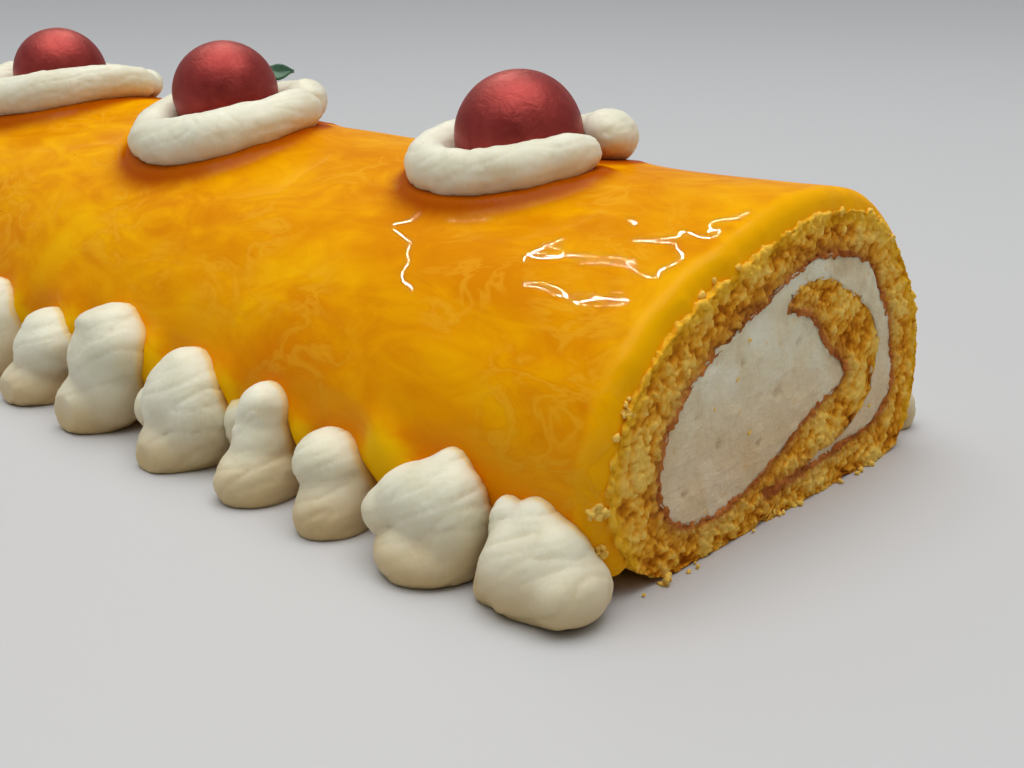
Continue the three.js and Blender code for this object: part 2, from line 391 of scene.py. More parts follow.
rings = {
    1: {"offset": (1, 1), "half": (19.8, 16.5), "axis": 43, "start": -12.5, "sweep": 303, "pinch": 0.12,
        "radii": (4.7, 4.8, 4.8, 4.8, 6.2), "lift": (1.1, 1.18, 0.9, 0.85, 0.86)},
    2: {"offset": (5.9, -2.2), "half": (23, 20.2), "axis": 133, "start": 28, "sweep": 328, "pinch": 0.07,
        "radii": (5, 7.3, 5.1, 4.5, 6), "lift": (1, 0.75, 0.75, 0.9, 0.92)},
    3: {"offset": (2, 2), "half": (24.4, 18), "axis": 43, "start": 29, "sweep": 326, "pinch": 0.04,
        "radii": (4.3, 6.2, 5.8, 4.2, 4.5), "lift": (1.1, 0.98, 0.85, 0.95, 1)},
}
ringSteps = 54
ballCentres = {1: (91.7, 64.1), 2: (-9.4, 64.6), 3: (-92.1, 64)}
ball = {
    "radius": 13,
    "seat": 9,  # how far below its middle its flat foot lies
    "wide": 1.015,
    "swell": (7, 0.008),  # size and share of its unevenness
}


def strandPoints(number):
    # (x, y, radius, lift) in millimetres along a ring's strand
    ring = rings[number]
    points = []
    for step in range(ringSteps + 1):
        along = step / ringSteps
        turn = math.radians(ring["start"] - ring["axis"] - along * ring["sweep"])
        spot = Vector((ring["half"][0] * math.cos(turn), ring["half"][1] * math.sin(turn)))
        spot *= 1 - ring["pinch"] * ease(along, 0.8, 1)
        spot.rotate(Matrix.Rotation(math.radians(ring["axis"]), 2))
        place = min(along, 0.9999) * 4
        i = int(place)
        part = ease(place - i, 0, 1)
        radius, lift = (blend(ring[key][i], ring[key][i + 1], part) for key in ("radii", "lift"))
        x = ballCentres[number][0] + ring["offset"][0] + spot.x
        points.append((x, ring["offset"][1] + spot.y, radius, lift))
    return points


# the custard coat

coat = {
    "columns": 220,  # steps along the roll
    "rows": 165,  # steps round it
    "outlines": (155.45, 0),  # where its node's outline is read: near the cut end and halfway along
    "core": 0.02,  # height of the line that its outline is read round
    "roundEnd": 3.5,  # how far from its end the coat thins away
    "sunk": 1.1,  # how deep its inner side lies in the sponge
    "ragged": (1.2, 0.9),  # how far back its edge stands, and how unevenly
    "ripple": [(26, 0.55, 3), (15, 0.3, 21), (9, 0.16, 8), (5, 0.05, 12)],  # size, height, seed
    "rimCrumbs": (2.6, 0.9, 2.6),  # size, height and reach of the crumbs under its edge
    # custard banked up round the rings, less on the far side, and how far the painted shade under them,
    # partly deeper gel, reaches on each side
    "bank": {"height": 2.8, "reach": 2.2, "less": 0.75, "paintedShade": (4.5, 1.6), "from": (0.04, 0.052)},
    # custard that pooled behind the gaps between the dollops: x, level, half width, thickness
    "pools": [
        (136, 17, 5, 1), (110, 20, 8, 3.6), (88, 18, 6.5, 3.4), (64, 19, 6, 3), (36, 19, 6.5, 3.6),
        (5, 22, 6.5, 3.4), (-20, 19, 6, 3.2), (-45, 19, 6, 2.8), (-70, 20, 6, 3.2),
        (-95, 18, 6, 2.6), (-118, 19, 6, 3), (-139, 17, 5, 2.2),
    ],
    "poolShelf": (5, 6, 12),  # how far its top slopes down and up from its level, and where its foot thins
    "poolWander": (9, 5),  # size and reach of the unevenness of its edge
}
halfRoll = 158.5


def coatProfiles():
    # the coat's inner and outer outline at two places, read from its node
    bm = copyOf("custard_coat")
    found = {}
    for place in coat["outlines"]:
        for outer in (False, True):
            row = []
            for vert in bm.verts:
                if abs(vert.co.x - place * mm) > 0.3 * mm:
                    continue
                across = Vector((0, vert.co.y, vert.co.z - coat["core"]))
                if (vert.normal.dot(across) > 0) == outer:
                    angle = math.atan2(across.z, across.y)
                    if angle <= -math.pi / 2:
                        angle += 2 * math.pi
                    row.append((angle, Vector((vert.co.y, vert.co.z))))
            row.sort(key=lambda entry: -entry[0])
            found[(place == 0, outer)] = [spot for angle, spot in row]
    bm.free()
    return found


profiles = coatProfiles()
print("coat outline points", {key: len(value) for key, value in profiles.items()})


def coatEnd(along):
    # where the coat's ragged edge lies, in millimetres
    back, uneven = coat["ragged"]
    jag = noise.noise(Vector((along * 16, 3, 0))) + 0.25 * noise.noise(Vector((along * 95, 7, 0)))
    return halfRoll - back - uneven * (jag + 0.5) * (0.4 + ease(abs(along - 0.62), 0.1, 0.4))


def coatSpot(share, along, outer):
    # a point of the smooth coat, and the way out of it, for a share of its length from -1 to 1
    end = coatEnd(along)
    x = share * end * mm
    fromEnd = end * mm - abs(x)
    middle = ease(fromEnd, 0, 0.09)
    inner = [curveAt(profiles[(halfway, False)], along) for halfway in (False, True)]
    face = [curveAt(profiles[(halfway, True)], along) for halfway in (False, True)]
    start = along - 0.01 if along > 0.5 else along
    stop = along if along > 0.5 else along + 0.01
    heading = curveAt(profiles[(True, True)], stop) - curveAt(profiles[(True, True)], start)
    heading.normalize()
    outward = Vector((0, -heading.y, heading.x))
    sunk = blend(*inner, middle) - Vector((outward.y, outward.z)) * coat["sunk"] * mm
    full = math.sqrt(1 - (1 - min(fromEnd / (coat["roundEnd"] * mm), 1)) ** 2)
    spot = blend(sunk, blend(*face, middle), full) if outer else sunk
    return Vector((x, spot.x, spot.y)), outward


def coatRelief(spot):
    lift = 0
    for size, height, seed in coat["ripple"]:
        lift += grain((spot.x * 0.6, spot.y, spot.z), size * mm, seed) * height
    if spot.y < 0:
        below, above, foot = coat["poolShelf"]
        size, reach = coat["poolWander"]
        sideways = grain(spot, size * mm, 31) * reach
        rise = grain(spot, size * mm, 32) * reach
        for x, level, halfWidth, depth in coat["pools"]:
            away = ((spot.x / mm + sideways - x) / halfWidth) ** 2
            if away < 6:
                shelf = 1 - ease(spot.z / mm + rise, level - below, level + above)
                lift += depth * math.exp(-away) * shelf * ease(spot.z / mm, 0, foot)
    return lift * mm


def makeCoat(strands):
    bm = bmesh.new()
    bmesh.ops.create_grid(bm, x_segments=coat["columns"], y_segments=coat["rows"], size=0.5)
    bmesh.ops.extrude_face_region(bm, geom=bm.faces[:])
    layer = bm.verts.layers.float.new("thick")
    ringShadeLayer = bm.verts.layers.float.new("deep")
    rimLayer = bm.verts.layers.float.new("rim")
    lowest = set(bm.verts[:(coat["columns"] + 1) * (coat["rows"] + 1)])
    bank = coat["bank"]
    banks = KDTree(len(strands))
    for i, (x, y, radius, lift) in enumerate(strands):
        banks.insert((x * mm, y * mm, 0), i)
    banks.balance()
    for vert in bm.verts:
        outer = vert not in lowest
        u = vert.co.x
        share = 0.55 * math.sin(u * math.pi) + 0.45 * 2 * u
        along = 0.5 - vert.co.y
        spot, outward = coatSpot(share, along, outer)
        if outer:
            raised = coatRelief(spot)
            i, away = banks.find((spot.x, spot.y, 0))[1:]
            if spot.z > bank["from"][0]:
                gap = max(away - strands[i][2] * mm, 0)
                uphill = ease(spot.y, -0.012, 0.012)
                # painted shade under the rings, partly deeper gel: strongest beside a strand, reaching
                # further on the front, downhill side
                vert[ringShadeLayer] = math.exp(-gap / (blend(*bank["paintedShade"], uphill) * mm))
                height = bank["height"] * (1 - bank["less"] * uphill) * mm
                height = height * math.exp(-gap / (bank["reach"] * mm))
                raised += height * ease(spot.z, *bank["from"])
            fade = ease(1 - abs(share), 0, 0.03)
            fromEnd = halfRoll * (1 - abs(share))
            size, tall, reach = coat["rimCrumbs"]
            lumps = crumbs(spot, size * mm, 2) * tall * mm
            lumps = lumps * (1 - ease(fromEnd, 0, reach)) * ease(fromEnd, 0, 0.6)
            spot = spot + outward * (raised * fade + lumps)
            vert[layer] = raised / mm
            vert[rimLayer] = 1 - ease(fromEnd, 1, 7)
        vert.co = spot
    bmesh.ops.recalc_face_normals(bm, faces=bm.faces)
    return bm


def custardFinish():
    finish = Finish("custard", Roughness=0.5, Specular_IOR_Level=0, Coat_Weight=0.2,
                    Coat_Roughness=0.01, Coat_IOR=1.33)
    clouds = finish.noise(0.034, 3, 0.5, 0.8, finish.stretched((0.7, 1, 1), (0, 0, 20)))
    streaks = finish.noise(0.013, 4, 0.6, 1.6, finish.stretched((0.55, 1, 1), (0, 0, 35)))
    thick = finish.between(finish.stored("thick") + (streaks - 0.5) * 3, 0.5, 2.6)
    tone = finish.between(clouds * 0.55 + streaks * 0.45, 0.35, 0.67)
    body = finish.ramp(tone, (0, (0.75, 0.25, 0)), (0.35, (0.84, 0.33, 0)),
                       (0.7, (0.91, 0.4, 0)), (1, (0.96, 0.48, 0.001)))
    # painted shade, partly the deeper colour of thicker gel: the coat turns deeper orange towards its foot
    foot = 1 - finish.between(finish.height() + clouds * 0.02, 0.025, 0.05)
    colour = finish.mix(foot * 0.65, body, (0.92, 0.25, 0))
    rim = finish.between(finish.stored("rim") + streaks * 0.5 - 0.25, 0.2, 0.9)
    colour = finish.mix(rim * 0.75, colour, (1, 0.48, 0.001))
    colour = finish.mix(thick * 0.88, colour, (1, 0.56, 0.001))
    # wrinkles where the gel set as it slid, in patches: painted highlights on their crests beside painted
    # shade in their hollows; the same masks also raise and sink the bump
    wavy = finish.noise(0.011, 4, 0.6, 0.8, finish.stretched((0.6, 1, 1), (0, 0, 30)))
    fold = finish.node("ShaderNodeMath", {"operation": "ABSOLUTE"}, {0: wavy - 0.5})
    patch = finish.between(finish.noise(0.03, 2), 0.46, 0.6)
    crestHighlight = (1 - finish.between(fold, 0, 0.06)) * patch
    hollowShade = (1 - finish.between(fold, 0.02, 0.1)) * patch
    colour = finish.mix(hollowShade * 0.35, colour, (0.74, 0.23, 0))
    colour = finish.mix(crestHighlight * 0.28, colour, (1, 0.56, 0.03))
    # painted shade under the rings, partly the deeper colour of gel gathered there: dark red-orange
    deep = finish.between(finish.stored("deep") + (clouds - 0.5) * 0.4, 0.12, 0.85)
    colour = finish.mix(deep * 0.92, colour, (0.42, 0.055, 0))
    speck = (1 - finish.between(finish.lumps(0.013), 0.025, 0.04)) * finish.between(wavy, 0.5, 0.55)
    colour = finish.mix(speck * 0.6, colour, (0.3, 0.05, 0))
    ripple = finish.noise(0.007, 3, 0.5, 0.8)
    bumps = finish.bump(ripple + crestHighlight * 0.3 - hollowShade * 0.4, 0.0004, 0.2)
    return finish.feed(Base_Color=colour, Normal=bumps)


farStrand = [(9999, 9999, 1, 1)]  # too far off to bank anything up
smoothCoat = makeCoat(farStrand)
coatTree = BVHTree.FromBMesh(smoothCoat)


def coatHeight(x, y):
    # height of the coat's top in millimetres
    hit = coatTree.ray_cast(Vector((x * mm, y * mm, 0.2)), Vector((0, 0, -1)))[0]
    return hit.z / mm if hit else 40


allStrands = [point for number in rings for point in strandPoints(number)]
coatPiece = piece("custardCoat", makeCoat(allStrands), custardFinish(), ["custard_coat"])
smoothCoat.free()
print("custard coat", len(coatPiece.data.polygons))


# the sponge, open crumb on its cut faces

endsFrom = 0.15  # past this a vertex of a rolled sheet belongs to its cut face
farOff = 9  # a stored distance at which nothing is near

sponge = {
    "cuts": 7,  # how finely its ends are divided
    "face": 157.5,  # where the cut faces lie
    "bands": (154, 155.6),  # loops near the ends, so that crumbs at the rim stay short
    "lumps": [(2.5, 1, 0), (1.3, 0.95, 5), (0.7, 0.6, 9)],  # size, height, seed
    "swell": (7, 0.7, 3),  # size, height, seed
    "jitter": (1.1, 0.5),  # size and reach of the crumbs' sideways shift
    "rimCrumbs": 0.95,  # share of the crumbs' height on the rim
    # the browned face, from its tip in the middle to the seam: y, z
    "crustLine": [
        (-1, 39.5), (7, 37), (13, 30.5), (21, 23), (9, 18), (-8, 10), (-22, 7.4), (-33, 10.5), (-37.2, 20),
        (-31, 31.5), (-12, 41), (8, 47.2), (25, 44), (36, 31), (40.4, 17.5), (36, 10), (20, 8), (4, 6.4),
        (-4, 5.6),
    ],
}


def crustTree():
    line = [Vector(spot) for spot in sponge["crustLine"]]
    steps = 399
    tree = KDTree(steps + 1)
    for i in range(steps + 1):
        spot = curveAt(line, i / steps)
        tree.insert((0, spot.x * mm, spot.y * mm), i)
    tree.balance()
    return tree


def makeSponge():
    bm = copyOf("sponge_sheet")
    for vert in bm.verts:
        if abs(vert.co.x) > endsFrom:
            vert.co.x = math.copysign(sponge["face"] * mm, vert.co.x)
    for band in sponge["bands"]:
        for side in (-1, 1):
            bmesh.ops.bisect_plane(bm, geom=[*bm.verts, *bm.edges, *bm.faces], dist=0.01 * mm,
                                   plane_co=(side * band * mm, 0, 0), plane_no=(1, 0, 0))
    bmesh.ops.triangulate(bm, faces=bm.faces[:])
    inner = sponge["bands"][1] * mm - 0.01 * mm
    ends = []
    for edge in bm.edges:
        first, last = (vert.co.x for vert in edge.verts)
        if min(abs(first), abs(last)) > inner and first * last > 0:
            ends.append(edge)
    bmesh.ops.subdivide_edges(bm, edges=ends, cuts=sponge["cuts"], use_grid_fill=True)
    bmesh.ops.triangulate(bm, faces=bm.faces[:])
    bm.normal_update()
    crust = crustTree()
    crustLayer = bm.verts.layers.float.new("crust")
    crumbLayer = bm.verts.layers.float.new("crumb")
    soakedLayer = bm.verts.layers.float.new("soaked")
    face = sponge["face"] * mm
    for vert in bm.verts:
        if abs(vert.co.x) < inner + 0.02 * mm:
            vert[crustLayer] = farOff
            vert[soakedLayer] = farOff
            continue
        side = math.copysign(1, vert.co.x)
        spot = vert.co.copy()
        away = crust.find((0, spot.y, spot.z))[2] / mm
        height = 0
        for size, tall, seed in sponge["lumps"]:
            height += crumbs(spot, size * mm, seed + side) * tall
        size, tall, seed = sponge["swell"]
        height += grain(spot, size * mm, seed) * tall
        # the lumps' height, which the finish also turns into painted shade in the pits
        vert[crumbLayer] = height
        vert[crustLayer] = away
        vert[soakedLayer] = coatTree.find_nearest(Vector((side * 0.12, spot.y, spot.z)))[3] / mm
        onCut = abs(spot.x) > face - 0.01 * mm
        if onCut and abs(vert.normal.x) > 0.9:
            vert.co.x += side * (min(height, 0.9) - 0.3) * mm
            size, reach = sponge["jitter"]
            vert.co.y += grain(spot, size * mm, 20) * reach * mm
            vert.co.z += grain(spot, size * mm, 40) * reach * mm
        else:
            rounding = 0.5 if onCut else 0
            lip = 0.2 * (1 - ease(vert[soakedLayer], 3, 5)) * ease(abs(spot.x) / mm, 153.9, 155.6)
            vert.co += vert.normal * (sponge["rimCrumbs"] * height + 0.1 - rounding + lip) * mm
        vert.co.z = max(vert.co.z, 0)
    bmesh.ops.recalc_face_normals(bm, faces=bm.faces)
    return bm


def spongeFinish():
    finish = Finish("sponge", Roughness=0.9, Specular_IOR_Level=0.1, Subsurface_Weight=0.12,
                    Subsurface_Radius=(0.003, 0.0018, 0.0008), Subsurface_Scale=1)
    crumb = finish.stored("crumb")
    crust = finish.stored("crust")
    soaked = finish.stored("soaked")
    ragged = finish.noise(0.0018, 4, 0.65) * 2.4
    patches = finish.noise(0.006, 4, 0.6)
    fine = finish.lumps(0.0011)
    # painted shade: the crumb's lower lumps and pits are darker and browner, its higher tips lighter,
    # mixed with random patches
    tone = finish.between(crumb * 0.42 + patches * 0.6 + 0.2, 0.1, 0.78)
    body = finish.ramp(tone, (0, (0.44, 0.12, 0.003)), (0.3, (0.74, 0.27, 0.01)),
                       (0.6, (0.92, 0.43, 0.03)), (1, (1, 0.64, 0.13)))
    # darker and browner within a few millimetres of the browned face
    nearCrust = 1 - finish.between(crust + ragged * 2, 2.2, 7.5)
    colour = finish.mix(nearCrust * 0.6, body, (0.46, 0.19, 0.04))
    browned = 1 - finish.between(crust + ragged, 1.7, 2.9)
    brown = finish.ramp(patches, (0.35, (0.34, 0.075, 0.014)), (0.65, (0.62, 0.19, 0.045)))
    colour = finish.mix(browned * 0.9, colour, brown)
    wet = 1 - finish.between(soaked + ragged * 0.8, 1.5, 3.6)
    colour = finish.mix(wet * 0.6, colour, (0.95, 0.5, 0.01))
    height = finish.noise(0.0016, 5, 0.7) * 0.5 - fine * 0.6
    return finish.feed(Base_Color=colour, Normal=finish.bump(height, 0.0007, 0.7))


spongePiece = piece("spongeSheet", makeSponge(), spongeFinish(), ["sponge_sheet"])
print("sponge", len(spongePiece.data.polygons))


# the cream in the spiral

filling = {
    "grid": 0.8,  # spacing of the cuts across its end faces
    "face": 157.15,  # where its end faces lie
    "smears": [(9, 0.5, 2), (3.5, 0.3, 7), (1.6, 0.12, 11)],  # size, height, seed
    "spread": (0.7, 0.9),  # how far it is smeared over the crust, and how unevenly
    "pitDepth": 1.2,
    # pits: y, z, radius
    "pits": [
        (-2, 25, 1.1), (-14, 33, 0.7), (-20, 20, 0.6), (4, 33, 0.7), (-27, 27, 0.8), (-8, 17, 0.6),
        (-30, 14, 0.6), (8, 43, 0.5),
    ],
}


def makeFilling():
    bm = copyOf("cream_filling")
    low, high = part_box("cream_filling")
    for end in (-1, 1):
        for axis in (1, 2):
            normal = Vector((0, 1, 0)) if axis == 1 else Vector((0, 0, 1))
            spot = low[axis] + filling["grid"] * mm
            while spot < high[axis]:
                caps = [f for f in bm.faces if all(v.co.x * end > endsFrom for v in f.verts)]
                edges = {e for f in caps for e in f.edges}
                corners = {v for f in caps for v in f.verts}
                bmesh.ops.bisect_plane(bm, geom=[*caps, *edges, *corners], dist=0.02 * mm,
                                       plane_co=normal * spot, plane_no=normal)
                spot += filling["grid"] * mm
    bm.normal_update()
    spread, uneven = filling["spread"]
    for vert in bm.verts:
        if abs(vert.co.x) < endsFrom:
            continue
        side = math.copysign(1, vert.co.x)
        edgeways = Vector((0, vert.normal.y, vert.normal.z))
        if edgeways.length > 0.3:
            vert.co += edgeways.normalized() * (spread + uneven * grain(vert.co, 2.1 * mm, 8)) * mm
        height = 0
        for size, tall, seed in filling["smears"]:
            height += grain((vert.co.x, vert.co.y, vert.co.z * 1.6), size * mm, seed) * tall
        for y, z, radius in filling["pits"]:
            away = math.hypot(vert.co.y / mm - y, vert.co.z / mm - z) / radius
            if away < 2:
                height -= filling["pitDepth"] * math.exp(-away * away)
        vert.co.x = side * (filling["face"] + height) * mm
    bmesh.ops.triangulate(bm, faces=bm.faces[:])
    bmesh.ops.recalc_face_normals(bm, faces=bm.faces)
    return bm


def fillingFinish():
    finish = Finish("filling", Roughness=0.5, Subsurface_Weight=0.3,
                    Subsurface_Radius=(0.004, 0.003, 0.002), Subsurface_Scale=1)
    cloudy = finish.noise(0.012, 4, 0.55, 0.6)
    specks = finish.between(finish.noise(0.0022, 3, 0.6), 0.62, 0.7)
    body = finish.ramp(cloudy, (0.3, (0.73, 0.56, 0.31)), (0.52, (0.86, 0.75, 0.5)),
                       (0.75, (0.95, 0.9, 0.72)))
    low = 1 - finish.between(finish.height(), 0.012, 0.034)
    colour = finish.mix(low * 0.55, body, (0.76, 0.47, 0.22))
    colour = finish.mix(specks * 0.5, colour, (0.8, 0.5, 0.16))
    smears = finish.noise(0.0035, 4, 0.6, 0.6, finish.stretched((1, 0.35, 1.5), (30, 0, 0)))
    height = finish.noise(0.0012, 4, 0.65) * 0.5 + smears * 0.8 + finish.lumps(0.0026) * 0.3
    return finish.feed(Base_Color=colour, Normal=finish.bump(height, 0.0015, 0.6))


fillingPiece = piece("creamFilling", makeFilling(), fillingFinish(), ["cream_filling"])
print("filling", len(fillingPiece.data.polygons))


# piped cream: rings and dollops share one finish

cream = {
    "voxel": 0.62,
    "rounds": 3,  # of smoothing
    "blend": 0.9,  # how softly its lobes run together
    "push": 0.12,  # how far its skin swells
    "lumps": (7, 0.35),  # size, height
    "wander": (9, 1.2),  # size and reach of the folds' unevenness
    "stretch": (7, 5),  # how much longer the folds are than wide, along x and y
    "foldWidth": 0.07,  # as a share of a fold's size
    "inset": 0.03,  # how far it stays inside the whole part's box
    "soak": {"ring": 5.5, "dollop": 2.4},  # how far from the custard it is tinted yellow, partly by soaked-in custard and partly by painted warm light bounced off it
}


def creamFinish():
    finish = Finish("pipedCream", Roughness=0.45, Specular_IOR_Level=0.3, Subsurface_Weight=0.5,
                    Subsurface_Radius=(0.0035, 0.0032, 0.0025), Subsurface_Scale=1)
    # painted shade and painted warm light bounced from below: the cream turns darker and warmer towards
    # its bottom
    low = finish.height() + finish.noise(0.007, 3) * 0.006
    paintedShade = (1 - finish.between(low, 0.001, 0.019)) * 0.9
    cloudy = finish.noise(0.01, 3, 0.5)
    body = finish.ramp(cloudy, (0.3, (0.77, 0.74, 0.55)), (0.7, (0.86, 0.84, 0.68)))
    # painted shade: a darker, warmer colour down in the cuts of the folds
    foldShade = 1 - finish.between(finish.stored("fold"), -0.5, -0.12)
    colour = finish.mix(foldShade * 0.35, body, (0.68, 0.5, 0.22))
    colour = finish.mix(paintedShade, colour, (0.62, 0.42, 0.16))
    # yellow near the custard: partly soaked-in custard, partly painted warm light bounced off it
    soaked = finish.between(finish.stored("soak") + (finish.noise(0.004, 3) - 0.5) * 0.6, 0.1, 0.8)
    colour = finish.mix(soaked * 0.65, colour, (0.88, 0.6, 0.13))
    creases = finish.noise(0.0035, 3, 0.55, 1.2, finish.stretched((1.6, 1.6, 0.5), (0, 55, 10)))
    pores = finish.noise(0.0009, 2, 0.5)
    return finish.feed(Base_Color=colour, Normal=finish.bump(creases * 0.8 + pores * 0.2, 0.0006, 0.3))


creamMaterial = creamFinish()


def lobeFrame(centre, turn, lean):
    place = Matrix.Translation(centre) @ Matrix.Rotation(math.radians(turn), 4, "Z")
    return place @ Matrix.Rotation(math.radians(lean), 4, "Y")


def fuse(blobs):
    # blobs: (centre, radii, turn about z, lean about y); fused into one soft mass
    bm = bmesh.new()
    for centre, radii, turn, lean in blobs:
        made = bmesh.ops.create_icosphere(bm, subdivisions=3, radius=1)
        place = lobeFrame(centre, turn, lean) @ Matrix.Diagonal((*radii, 1))
        bmesh.ops.transform(bm, matrix=place, verts=made["verts"])
    applied(bm, "REMESH", mode="VOXEL", voxel_size=cream["voxel"] * mm)
    for i in range(cream["rounds"]):
        smooth(bm, 0.5)
    bm.normal_update()
    return bm


def merged(bm, blobs):
    # draws the skin over the lobes' joints, as if they had run into each other
    spread = cream["blend"] * mm
    frames = []
    for centre, radii, turn, lean in blobs:
        frames.append((lobeFrame(centre, turn, lean).inverted(), Vector([1 / r for r in radii])))
    for step in range(2):
        for vert in bm.verts:
            total = 0
            for frameOf, inverse in frames:
                unit = (frameOf @ vert.co) * inverse
                far = unit.length
                steep = (unit * inverse).length
                total += math.exp(-far * (far - 1) / max(steep, 1) / spread)
            vert.co += vert.normal * spread * math.log(max(total, 0.05))
        smooth(bm, 0.5)
        bm.normal_update()
    return bm


def folded(bm, folds, seed, reach):
    # soft lumps, and sharp folds that run slantwise; each fold: size across, depth, slant
    layer = bm.verts.layers.float.new("fold")
    soakAndBounceLayer = bm.verts.layers.float.new("soak")
    low, high = Vector(solidBox[0]), Vector(solidBox[1])
    inset = cream["inset"] * mm
    lumpSize, lumpHeight = cream["lumps"]
    wanderSize, wanderReach = cream["wander"]
    for vert in bm.verts:
        spot = vert.co
        lift = cream["push"] + grain(spot, lumpSize * mm, seed) * lumpHeight
        wander = Vector([grain(spot, wanderSize * mm, seed + k) for k in (1, 2, 3)]) * wanderReach * mm
        for size, depth, slant in folds:
            slanted = Matrix.Rotation(math.radians(slant), 3, "Y") @ spot
            place = Vector((slanted.x / cream["stretch"][0], slanted.y / cream["stretch"][1], slanted.z))
            ridge = abs(noise.noise((place + wander) / (size * mm) + Vector((seed, 0, seed))))
            cut = -depth * math.exp(-ridge / cream["foldWidth"])
            lift += cut
            vert[layer] = min(vert[layer], cut)
        # how near the custard it lies, for its yellow tint: partly soak, partly painted bounce light
        vert[soakAndBounceLayer] = max(1 - coatTree.find_nearest(spot)[3] / (reach * mm), 0)
        vert.co = spot + vert.normal * lift * mm
        for axis in range(3):
            vert.co[axis] = min(max(vert.co[axis], low[axis] + inset), high[axis] - inset)
    bmesh.ops.recalc_face_normals(bm, faces=bm.faces)
    return bm


def makeRing(number):
    points = strandPoints(number)
    rng = random.Random(number)
    blobs = []
    for i, (x, y, radius, lift) in enumerate(points):
        fromEnd = min(i, len(points) - 1 - i)
        wide = radius * (1 + rng.uniform(-0.03, 0.03)) * mm * min(1, 0.72 + 0.14 * fromEnd)
        height = coatHeight(x, y) + radius * lift * 0.97
        radii = (wide, wide, wide * (0.6 + 0.4 * lift))
        blobs.append((Vector((x, y, height)) * mm, radii, rng.uniform(0, 90), 0))
    return folded(fuse(blobs), [(3.4, 0.24, 20), (1.9, 0.15, -35)], number * 3, cream["soak"]["ring"])


for number in rings:
    node = f"cream_ring_{number}"
    ringPiece = piece(f"creamRing{number}", makeRing(number), creamMaterial, [node])
print("rings", len(ringPiece.data.polygons))


# dollops: lobes as shares of the dollop's own box
# a lobe: across (0 far end .. 1 cut end), in (0 outside .. 1 roll side), up, three half sizes, lean

dollopForms = {
    "slope": [
        (0.38, 0.45, 0.33, 0.33, 0.5, 0.46, 0), (0.78, 0.46, 0.29, 0.22, 0.46, 0.3, 0),
        (0.15, 0.3, 0.14, 0.12, 0.22, 0.22, 0), (0.13, 0.55, 0.68, 0.12, 0.22, 0.23, 0),
        (0.39, 0.62, 0.73, 0.19, 0.32, 0.26, 0), (0.61, 0.5, 0.53, 0.22, 0.38, 0.34, 0),
        (0.6, 0.48, 0.28, 0.26, 0.44, 0.36, 0),
    ],
    "tongue": [
        (0.54, 0.42, 0.16, 0.4, 0.5, 0.28, 0), (0.6, 0.52, 0.56, 0.34, 0.44, 0.34, 0),
        (0.2, 0.36, 0.43, 0.19, 0.29, 0.2, 0), (0.36, 0.46, 0.56, 0.24, 0.34, 0.26, 0),
        (0.64, 0.66, 0.82, 0.15, 0.22, 0.17, 0), (0.8, 0.52, 0.43, 0.22, 0.35, 0.46, 0),
    ],
    "pair": [
        (0.44, 0.45, 0.18, 0.36, 0.45, 0.41, 0), (0.32, 0.5, 0.67, 0.33, 0.4, 0.34, 0),
        (0.46, 0.6, 0.41, 0.24, 0.29, 0.45, 0),
    ],
    "neck": [
        (0.46, 0.43, 0.17, 0.38, 0.49, 0.34, 0), (0.46, 0.58, 0.8, 0.24, 0.31, 0.23, 0),
        (0.45, 0.52, 0.51, 0.27, 0.34, 0.27, 0), (-0.08, 0.7, 0.47, 0.18, 0.23, 0.29, 0),
    ],
    "peak": [
        (0.44, 0.45, 0.14, 0.32, 0.48, 0.32, 0), (0.44, 0.52, 0.57, 0.33, 0.42, 0.4, 0),
        (0.06, 0.45, 0.42, 0.14, 0.21, 0.21, 0), (0.5, 0.6, 0.86, 0.21, 0.28, 0.17, 0),
        (0.66, 0.55, 0.45, 0.27, 0.38, 0.47, 0),
    ],
    "capped": [
        (0.33, 0.43, 0.17, 0.3, 0.49, 0.29, 0), (0.45, 0.52, 0.57, 0.32, 0.42, 0.34, 0),
        (0.19, 0.45, 0.5, 0.13, 0.21, 0.22, 0), (0.42, 0.6, 0.88, 0.25, 0.36, 0.11, -12),
        (0.57, 0.5, 0.33, 0.21, 0.33, 0.29, 0), (0.61, 0.56, 0.68, 0.27, 0.36, 0.27, 0),
    ],
    "tilted": [
        (0.42, 0.45, 0.17, 0.32, 0.49, 0.32, 0), (0.48, 0.52, 0.56, 0.26, 0.38, 0.36, 0),
        (0.09, 0.35, 0.11, 0.15, 0.22, 0.18, 0), (0.5, 0.6, 0.87, 0.22, 0.31, 0.15, -8),
        (0.64, 0.55, 0.66, 0.25, 0.36, 0.28, 0),
    ],
}
dollopOrder = {
    "front": ["slope", "tongue", "pair", "neck", "peak", "capped", "tilted",
              "peak", "pair", "tongue", "capped", "tilted", "pair"],
    "back": ["pair", "peak", "neck", "tilted", "tongue", "pair", "capped",
             "peak", "tilted", "tongue", "neck", "pair", "capped"],
}


def makeDollop(node, form, side, seed):
    low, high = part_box(node)
    size = high - low
    blobs = []
    for across, inward, up, wide, deep, tall, lean in dollopForms[form]:
        y = low.y + inward * size.y if side < 0 else high.y - inward * size.y
        centre = Vector((low.x + across * size.x, y, low.z + up * size.z))
        blobs.append((centre, (wide * size.x, deep * size.y, tall * size.z), 0, lean))
    folds = [(4.4, 0.32, 30), (2.2, 0.17, 36), (1.5, 0.1, 33)]
    return folded(merged(fuse(blobs), blobs), folds, seed, cream["soak"]["dollop"])


for row, side, firstSeed in (("front", -1, 1), ("back", 1, 21)):
    for i, form in enumerate(dollopOrder[row]):
        node = f"dollop_{row}_{i + 1}"
        shape = makeDollop(node, form, side, firstSeed + i)
        piece(f"dollop{row.capitalize()}{i + 1}", shape, creamMaterial, [node])
print("dollops ready")


# chocolate balls

